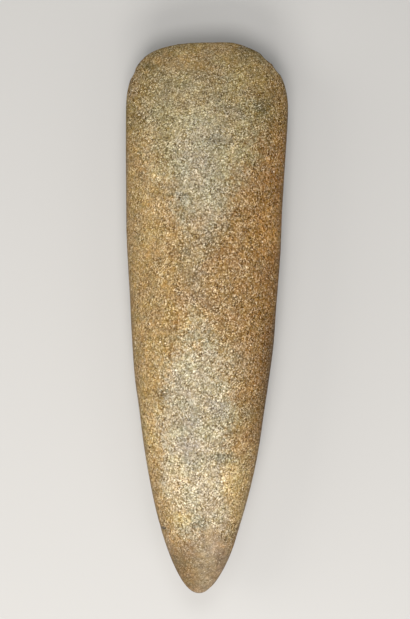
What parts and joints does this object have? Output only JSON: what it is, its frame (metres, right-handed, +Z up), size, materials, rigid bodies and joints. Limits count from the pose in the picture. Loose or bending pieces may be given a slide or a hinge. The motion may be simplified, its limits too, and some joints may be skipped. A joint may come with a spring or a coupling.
{
  "type": "polished stone axe head",
  "caption": "Long pointed-butt stone axe head with a broad bowed cutting edge, ground from one piece of rock, lying on one of its faces.",
  "frame": {"origin": "middle of the length and width, on the surface the axe lies on", "axes": "+Y from the butt towards the cutting edge, X across the blade, +Z up through the thickness"},
  "size_m": [0.0823, 0.28, 0.0514],
  "materials": {
    "stone": "satin"
  },
  "bodies": {
    "root": {"axe_head": "stone"}
  },
  "joints": []
}
